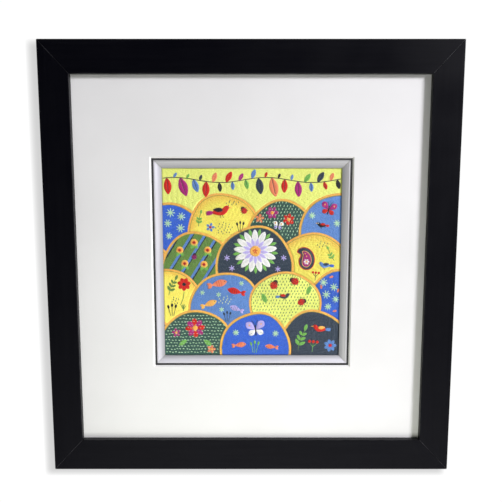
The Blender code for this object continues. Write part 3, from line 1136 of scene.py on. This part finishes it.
def big_flower(x, z, size):
    """Two rings of slim pale petals round a golden heart, with a collar of small leaves."""
    turns = [BIG_TURN + 360 * n / BIG_PETALS for n in range(BIG_PETALS)]
    collar = petal(size * 0.34, size * 0.13, 0.8, size * 0.72)
    outer = petal(size * 0.78, size * 0.28, 0.6, size * 0.22, 1.25)
    inner = petal(size * 0.42, size * 0.17, 0.6, size * 0.18)
    for turn in turns:
        sew(collar, x, z, turn + 14, "bright_green", 0.30)
    for turn in turns:
        sew(outer, x, z, turn, "white", 0.40)
        for side in (-0.045, 0.0, 0.045):
            line(turned([(0.40, side * 0.6), (0.86, side)], x, z, turn, size), "silver", 0.56, 3.0, 0.4)
    for turn in turns:
        sew(inner, x, z, turn + 180 / BIG_PETALS, "lavender", 0.56)
    sew(disc(size * 0.25), x, z, 0, "gold", 0.72, 15)
    knots(x, z, size * 0.23, 34, "gold", 0.9, 0.9)
    knots(x, z, size * 0.11, 12, "red", 1.0, 0.9)


garland()
big_flower(3.5, 13.0, 22.5)

# the back row of beds; a star's turn follows from its place, so that no two look alike
for x, z, size in ((-84, 53, 4.6), (-73, 49, 4.2), (-87, 42, 4.0), (-74, 37, 4.4), (-86, 29, 3.6)):
    star(x, z, size, "mint", 8, x * 7)
bird(-34, 54, 25, "red", "black", "magenta", 8)
sprig(-55, 39, 80, 13, "leaf", "bright_green", 2)
flower(-43, 38, 5, 4.6, "cornflower", "red")
specks(-29, 37, 18, 13, 22, "forest")
reeds(-12, 33, 11, 3)
beetle(-8, 55, 120, 6.4)
specks(-21, 63, 15, 6, 9, "forest")
flower(21, 53, 6, 6.6, "magenta", "gold")
flower(38, 46, 6, 6.2, "red", "gold", start_turn=20)
flower(8, 47, 5, 4.8, "salmon", "gold", start_turn=10)
butterfly(27, 39, 80, 6.2, "white", "lavender")
butterfly(79, 56, 78, 9.5, "magenta", "red")
bird(73, 40, 13, "black", "red", "red", 6, -1)
star(62, 50, 3.6, "mint", 8, 10)
star(88, 42, 3.8, "mint", 8, 25)

# the second row
for x, z in ((-75, 14), (-60, 22), (-46, 14), (-70, 0), (-50, -1)):
    sun_flower(x, z, 3.7)
beetle(-60, 7, 80, 5.4, "magenta")
paisley(54, -6, 66, 27, "slate", "magenta", "red")
sprig(86, 3, 118, 13, "leaf", "bright_green", 2)
bird(77, -2, 16, "cornflower", "slate", "royal", 4, -1)
berries(66, -18, 84, 9, "red")
specks(73, 20, 13, 7, 9, "forest")
for x, z in ((-26, 6), (-21, -5), (33, 6), (27, -6)):
    star(x, z, 3.0, "lavender", 6, x)

# the third row
sprig(-87, -33, 66, 17, "leaf", "leaf", 3)
flower(-71, -22, 7, 7.0, "red", "black", 0.6, 12)
line([(-71, -30), (-72, -37), (-75, -44)], "leaf", 0.42, 2.4, 0.7)
reeds(-84, -56, 13, 3)
specks(-81, -40, 9, 10, 9, "forest")
grass(-72, -50, 7, 5, "leaf")
fish(-42, -23, 14, 16.5, "salmon", "red")
fish(-11, -31, 166, 15.0, "red", "black")
fish(-50, -45, 22, 14.0, "gold", "salmon")
fish(-12, -50, 158, 12.0, "lavender", "slate")
for x, z in ((-35, -33), (-52, -31), (-32, -49), (-11, -21)):
    star(x, z, 2.6, "mint", 6, x)
specks(-28, -39, 16, 9, 13, "lime")
reeds(-26, -62, 11, 3, "slate")
for x, z, turn, size in ((23, -23, 60, 8.4), (45, -19, 150, 8.0), (52, -41, 20, 7.6)):
    beetle(x, z, turn, size)
bird(33, -35, 15, "slate", "red", "cornflower", 4)
leaf(58, -33, 70, 10, "bright_green", "leaf")
leaf(15, -42, 112, 11, "bright_green", "leaf")
for x, z, size in ((75, -20, 4.2), (86, -25, 4.2), (78, -33, 4.4), (88, -38, 3.8), (80, -46, 3.6)):
    star(x, z, size, "mint", 8, z * 5)
for x, z, turn in ((81, -15, 20), (90, -31, 80), (85, -51, 10), (73, -27, 100)):
    leaf(x, z, turn, 4.6, "salmon")

# the front row
flower(-60, -69, 8, 10.5, "red", "gold", 0.5, 5, "magenta")
leaf(-69, -82, 215, 10, "bright_green")
leaf(-51, -82, -35, 10, "bright_green")
flower(-43, -92, 5, 4.6, "salmon", "gold")
flower(-80, -74, 5, 4.8, "magenta", "gold", start_turn=30)
butterfly(4, -71, 96, 12.0, "lavender", "white")
fish(-18, -88, 8, 12.0, "salmon", "red")
fish(25, -90, 172, 11.0, "salmon", "red")
star(-17, -74, 3.4, "mint", 8, 5)
star(25, -75, 3.4, "mint", 8, 15)
reeds(3, -96, 13, 3, "bright_green")
sprig(49, -93, 72, 22, "leaf", "bright_green", 3)
bird(73, -70, 19, "red", "gold", "cornflower", 5, -1)
berries(64, -95, 84, 12, "red", "bright_green")
flower(83, -88, 7, 6.8, "cornflower", "red", 0.5)
print("stitches in all:", sum(len(rows) for rows in plan.values()))

# %% [markdown]
# ## One strand, many times
# Every stitch is the same short strand: a flat closed ribbon of floss that swells in the middle and dips
# into the cloth at both ends. A Geometry Nodes tree makes it from a cylinder, puts one on each planned
# point, and stretches and turns it by the attributes stored there. Each copy also gets its own random
# tint. The tree ends by realising the copies and giving them their thread's material.

# %% The strand tree
STRAND_INPUTS = (("Places", "Geometry"), ("Strand sides", "Int"), ("End taper", "Float"),
                 ("Flatness", "Float"), ("Arch height", "Float"), ("Tint seed", "Int"),
                 ("Thread", "Material"))
STRAND_RISE = 0.72


def store(tree, name, geometry, value, data_type, domain):
    """Keeps a value on the geometry, as an attribute of this name."""
    links = [("Name", name), ("Geometry", geometry), ("Value", value)]
    made = add(tree, "GeometryNodeStoreNamedAttribute", links, data_type=data_type, domain=domain)
    return made.outputs["Geometry"]


def stored(tree, name):
    """A number that was kept on the points."""
    made = add(tree, "GeometryNodeInputNamedAttribute", [("Name", name)], data_type="FLOAT")
    return made.outputs["Attribute"]


def make_strand_tree():
    """The tree, and the key of each of its inputs."""
    tree = bpy.data.node_groups.new("lay_strands", "GeometryNodeTree")
    keys = {}
    for name, kind in STRAND_INPUTS:
        socket = tree.interface.new_socket(name, in_out="INPUT", socket_type="NodeSocket" + kind)
        keys[name] = socket.identifier
    tree.interface.new_socket("Strands", in_out="OUTPUT", socket_type="NodeSocketGeometry")
    given = add(tree, "NodeGroupInput").outputs

    sizes = [("Vertices", given["Strand sides"]), ("Side Segments", 3), ("Radius", 0.5), ("Depth", 1.0)]
    rod = add(tree, "GeometryNodeMeshCylinder", sizes, fill_type="NGON")
    marked = store(tree, "thread_map", rod.outputs["Mesh"], rod.outputs["UV Map"], "FLOAT2", "CORNER")

    split = xyz(tree, add(tree, "GeometryNodeInputPosition").outputs[0])
    doubled = maths(tree, "MULTIPLY", split["Z"], 2.0)
    squared = maths(tree, "MULTIPLY", doubled, doubled)
    fourth = maths(tree, "MULTIPLY", squared, squared)
    slim = maths(tree, "SUBTRACT", 1.0, maths(tree, "MULTIPLY", fourth, given["End taper"]))
    rise = maths(tree, "MULTIPLY", maths(tree, "SUBTRACT", STRAND_RISE, squared), given["Arch height"])
    across = maths(tree, "MULTIPLY", split["X"], slim)
    thin = maths(tree, "MULTIPLY", slim, given["Flatness"])
    deep = maths(tree, "SUBTRACT", maths(tree, "MULTIPLY", split["Y"], thin), rise)
    bent = add(tree, "ShaderNodeCombineXYZ", [("X", split["Z"]), ("Y", deep), ("Z", across)]).outputs[0]
    links = [("Geometry", marked), ("Shade Smooth", False)]
    hard = add(tree, "GeometryNodeSetShadeSmooth", links).outputs[0]
    links = [("Geometry", hard), ("Selection", rod.outputs["Side"]), ("Shade Smooth", True)]
    soft = add(tree, "GeometryNodeSetShadeSmooth", links).outputs[0]
    shaped = add(tree, "GeometryNodeSetPosition", [("Geometry", soft), ("Position", bent)]).outputs[0]

    turn = add(tree, "ShaderNodeCombineXYZ", [("Y", stored(tree, "turn"))]).outputs[0]
    girth = stored(tree, "girth")
    links = [("X", stored(tree, "reach")), ("Y", girth), ("Z", girth)]
    scale = add(tree, "ShaderNodeCombineXYZ", links).outputs[0]
    links = [("Points", given["Places"]), ("Instance", shaped), ("Rotation", turn), ("Scale", scale)]
    placed = add(tree, "GeometryNodeInstanceOnPoints", links).outputs[0]
    chance = add(tree, "FunctionNodeRandomValue", [("Seed", given["Tint seed"])], data_type="FLOAT")
    tinted = store(tree, "tint", placed, chance.outputs["Value"], "FLOAT", "INSTANCE")
    solid = add(tree, "GeometryNodeRealizeInstances", [("Geometry", tinted)]).outputs[0]
    painted = add(tree, "GeometryNodeSetMaterial", [("Geometry", solid), ("Material", given["Thread"])])
    add(tree, "NodeGroupOutput", [("Strands", painted.outputs[0])])
    return tree, keys


strand_tree, strand_keys = make_strand_tree()
print("strand tree has", len(strand_tree.nodes), "nodes")

# %% [markdown]
# ## Silk thread
# Untwisted floss lies flat, but its fibres still run in a slow slant, and its sheen follows them. The
# colour leans between the thread's two shades by the stored shade and tint, so every stitch differs a
# little from the next. The slant is bump on the strand's own map: ridges whose number follows its length.

# %% Thread material
TWISTS_PER_METRE = 900.0


def make_thread(name, light, deep):
    material, tree, shader = start("silk_" + name, Roughness=0.48, Sheen_Weight=0.3, Sheen_Roughness=0.35,
                                   Specular_IOR_Level=0.45)
    shade, tint, reach = (add(tree, "ShaderNodeAttribute", attribute_name=key).outputs["Fac"]
                          for key in ("shade", "tint", "reach"))
    lean = maths(tree, "ADD", maths(tree, "MULTIPLY", shade, 0.85), maths(tree, "MULTIPLY", tint, 0.15))
    colour = blend_colours(tree, lean, linear(light), linear(deep))
    own_map = xyz(tree, add(tree, "ShaderNodeUVMap", uv_map="thread_map").outputs["UV"])
    along = maths(tree, "MULTIPLY", maths(tree, "MULTIPLY", reach, TWISTS_PER_METRE), own_map["Y"])
    twists = maths(tree, "ADD", along, maths(tree, "MULTIPLY", own_map["X"], 2.0))
    ridge = maths(tree, "SINE", maths(tree, "MULTIPLY", twists, 2 * math.pi))
    feed(tree, shader, Base_Color=colour, Normal=bump(tree, ridge, 0.3, 0.00006))
    return material


thread_materials = {name: make_thread(name, *shades) for name, shades in THREADS.items()}
print("thread materials:", len(thread_materials))

# %% [markdown]
# ## Laying the stitches
# For each thread the plan becomes a mesh of loose points with four attributes. The tree turns it into
# strands, the result is copied to a plain mesh, and the modifier goes. So each thread is one piece of the
# picture, and its place in the list is the seed of its tints.

# %% Lay the stitches
LAYER_HEIGHT = 0.00045
PAST_HOLES = 0.3
STRAND_SIDES = 4
END_TAPER = 0.30
FLATNESS = 0.55
ARCH_HEIGHT = 0.12


def lay(name, rows, material, seed):
    """Turns one list of the plan into a piece of strands in this material."""
    x0, z0, x1, z1, layer, girth, shade = np.asarray(rows, float).T
    points = np.zeros((len(rows), 3))
    points[:, 0] = middle_x + (x0 + x1) / 2 * MM
    points[:, 1] = cloth_front - layer * LAYER_HEIGHT
    points[:, 2] = middle_z + (z0 + z1) / 2 * MM
    mesh = bpy.data.meshes.new(name + "_plan")
    mesh.from_pydata(points.tolist(), [], [])
    on_points = {
        "turn": -np.arctan2(z1 - z0, x1 - x0),
        "reach": (np.hypot(x1 - x0, z1 - z0) + PAST_HOLES) * MM,
        "girth": girth * MM,
        "shade": shade,
    }
    for key, values in on_points.items():
        attribute = mesh.attributes.new(key, "FLOAT", "POINT")
        attribute.data.foreach_set("value", values.astype(np.float32))
    piece = put_in_scene(name, mesh)
    modifier = piece.modifiers.new("lay_strands", "NODES")
    modifier.node_group = strand_tree
    settings = {"Strand sides": STRAND_SIDES, "End taper": END_TAPER, "Flatness": FLATNESS,
                "Arch height": ARCH_HEIGHT, "Tint seed": seed, "Thread": material}
    for key, value in settings.items():
        modifier[strand_keys[key]] = value
    graph = bpy.context.evaluated_depsgraph_get()
    plain = bpy.data.meshes.new_from_object(
        piece.evaluated_get(graph), preserve_all_data_layers=True, depsgraph=graph)
    piece.modifiers.remove(modifier)
    piece.data = plain
    bpy.data.meshes.remove(mesh)
    plain.name = name
    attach(piece, "root")
    return piece


stitch_pieces = []
for seed, (name, rows) in enumerate(plan.items()):
    stitch_pieces.append(lay("stitches_" + name, rows, thread_materials[name], seed))
triangles = [len(piece.data.loops) - 2 * len(piece.data.polygons) for piece in stitch_pieces]
print("pieces:", len(stitch_pieces), "triangles:", sum(triangles), "heaviest:", max(triangles))

# %% [markdown]
# ## The wall, the floor and the light
# The picture hangs on a plain pale wall above a plain pale floor. The key light stands high on the right
# and rakes across the frame, so the lip throws a short shadow on the mat at the right and the top. A
# ceiling panel fills a little from above, and a small panel close under the picture brightens the mats
# towards the bottom. A floor panel shows as the sheen on the bottom rail. The wall glows nearly white,
# except in a soft band of painted shadow, as wide on the left as below, worked out from the frame's
# outline.
# The wall can be seen through from behind, where one more panel lights the back of the picture, and the
# camera sees a pale room around it all.

# %% Stage and light
WALL_HALF = 1.6
FLOOR_DROP = 0.9
WALL_GAP = 0.0006
WALL_GLOW = 1.02
FLOOR_GLOW = 0.05
SHADE_DEPTH = 0.365
SHADE_SOFT = 0.0100
SHADE_FAR = 0.0185
SHADE_NEAR = 0.0050
ROOM_GLOW = 0.0155
ROOM_SEEN = 0.85
ROOM_COLOUR = (1.0, 1.0, 0.9, 1)
COOL = (1.0, 0.988, 1.046)
WARM = (0.98, 1.02, 0.87)
PLAIN = (1.0, 1.0, 1.0)
PANELS = (
    dict(name="key_panel", towards=(1.45, -1.0, 0.77), distance=1.9, size=0.44, power=38.8, colour=COOL),
    dict(name="ceiling_panel", towards=(0.1, -0.8, 1.3), distance=2.2, size=2.0, power=2.8, colour=WARM,
         mirrored=False),
    dict(name="steep_panel", towards=(-0.02, -0.30, -0.27), distance=0.405, size=0.34, power=0.755,
         colour=WARM, mirrored=False),
    dict(name="floor_panel", towards=(0.1, -1.0, -0.75), distance=1.5, size=1.4, power=2.6, colour=PLAIN),
    dict(name="back_panel", towards=(0.5, 1.0, 0.7), distance=1.6, size=1.0, power=15, colour=PLAIN,
         mirrored=False),
)


def plane(name, corners, material, casts_shadow=True):
    """A flat piece of the stage."""
    mesh = bpy.data.meshes.new(name)
    mesh.from_pydata(corners, [], [(0, 1, 2, 3)])
    mesh.materials.append(material)
    thing = put_in_scene(name, mesh)
    thing.visible_shadow = casts_shadow


def make_floor_plaster():
    material, tree, shader = start("floor_plaster", Roughness=0.9, Emission_Color=(1, 1, 1, 1),
                                   Emission_Strength=FLOOR_GLOW)
    tone = noise(tree, object_place(tree), 3.0, 2.0)
    feed(tree, shader, Base_Color=blend_colours(tree, tone, linear("D8D8D8"), linear("DEDEDE")))
    return material


def soft_side(tree, inside_by):
    """How deep the painted shadow is from one side: none at its edge, steep at first, full a little way
    in.
    """
    clear = spread(tree, inside_by, 0.0, SHADE_SOFT, 1.0, 0.0)
    return maths(tree, "SUBTRACT", 1.0, maths(tree, "MULTIPLY", clear, clear))


def make_wall_plaster():
    """Glows, but for a painted shadow beside the frame. From behind it is clear."""
    material, tree, shader = start("wall_plaster", Base_Color=(0, 0, 0, 1), Roughness=0.9,
                                   Specular_IOR_Level=0.0, Emission_Color=(1, 1, 1, 1))
    place = xyz(tree, object_place(tree))
    # the shadow beside the frame is painted into the glow, reaching further out on the left and below
    from_left = maths(tree, "SUBTRACT", place["X"], frame_low.x - SHADE_FAR)
    from_right = maths(tree, "SUBTRACT", frame_high.x + SHADE_NEAR, place["X"])
    from_below = maths(tree, "SUBTRACT", place["Z"], frame_low.z - SHADE_FAR)
    from_above = maths(tree, "SUBTRACT", frame_high.z + SHADE_NEAR, place["Z"])
    shade = SHADE_DEPTH
    for inside_by in (from_left, from_right, from_below, from_above):
        shade = maths(tree, "MULTIPLY", shade, soft_side(tree, inside_by))
    lit_share = maths(tree, "SUBTRACT", 1.0, shade)
    feed(tree, shader, Emission_Strength=maths(tree, "MULTIPLY", WALL_GLOW, lit_share))
    behind = add(tree, "ShaderNodeNewGeometry").outputs["Backfacing"]
    clear = add(tree, "ShaderNodeBsdfTransparent").outputs[0]
    mixed = add(tree, "ShaderNodeMixShader", [(0, behind), (1, shader.outputs[0]), (2, clear)])
    feed(tree, tree.nodes["Material Output"], Surface=mixed.outputs[0])
    return material


def panel_light(name, towards, distance, size, power, colour, mirrored=True):
    """A square light that looks at the middle of the picture from the given direction."""
    data = bpy.data.lights.new(name, "AREA")
    data.shape = "SQUARE"
    data.color = colour
    data.size = size
    data.energy = power
    lamp = put_in_scene(name, data)
    away = Vector(towards).normalized()
    lamp.location = Vector((0, frame_front, frame_middle_z)) + away * distance
    lamp.rotation_euler = (-away).to_track_quat("-Z", "Y").to_euler()
    lamp.visible_camera = False
    lamp.visible_glossy = mirrored


floor_z = frame_low.z - FLOOR_DROP
wall_top = floor_z + 2 * WALL_HALF
wall_y = frame_high.y + WALL_GAP
wall_corners = [(-WALL_HALF, wall_y, floor_z), (WALL_HALF, wall_y, floor_z),
                (WALL_HALF, wall_y, wall_top), (-WALL_HALF, wall_y, wall_top)]
plane("wall", wall_corners, make_wall_plaster(), casts_shadow=False)
floor_half = 3 * WALL_HALF
floor_corners = [(-floor_half, -floor_half, floor_z), (floor_half, -floor_half, floor_z),
                 (floor_half, floor_half, floor_z), (-floor_half, floor_half, floor_z)]
plane("floor", floor_corners, make_floor_plaster())
for panel in PANELS:
    panel_light(**panel)

world = bpy.data.worlds.new("soft_room")
bpy.context.scene.world = world
world.use_nodes = True
room = world.node_tree
lit = room.nodes["Background"]
lit.inputs["Color"].default_value = ROOM_COLOUR
lit.inputs["Strength"].default_value = ROOM_GLOW
seen = add(room, "ShaderNodeBackground", [("Color", (0.9, 0.9, 0.9, 1)), ("Strength", ROOM_SEEN)])
looked_at = add(room, "ShaderNodeLightPath").outputs["Is Camera Ray"]
room_mix = add(room, "ShaderNodeMixShader", [(0, looked_at), (1, lit.outputs[0]), (2, seen.outputs[0])])
feed(room, room.nodes["World Output"], Surface=room_mix.outputs[0])
print("stage set with", len(PANELS), "panels")

# %% [markdown]
# ## Finishing
# Last, the view layer is brought up to date.

# %% Finish
bpy.context.view_layer.update()
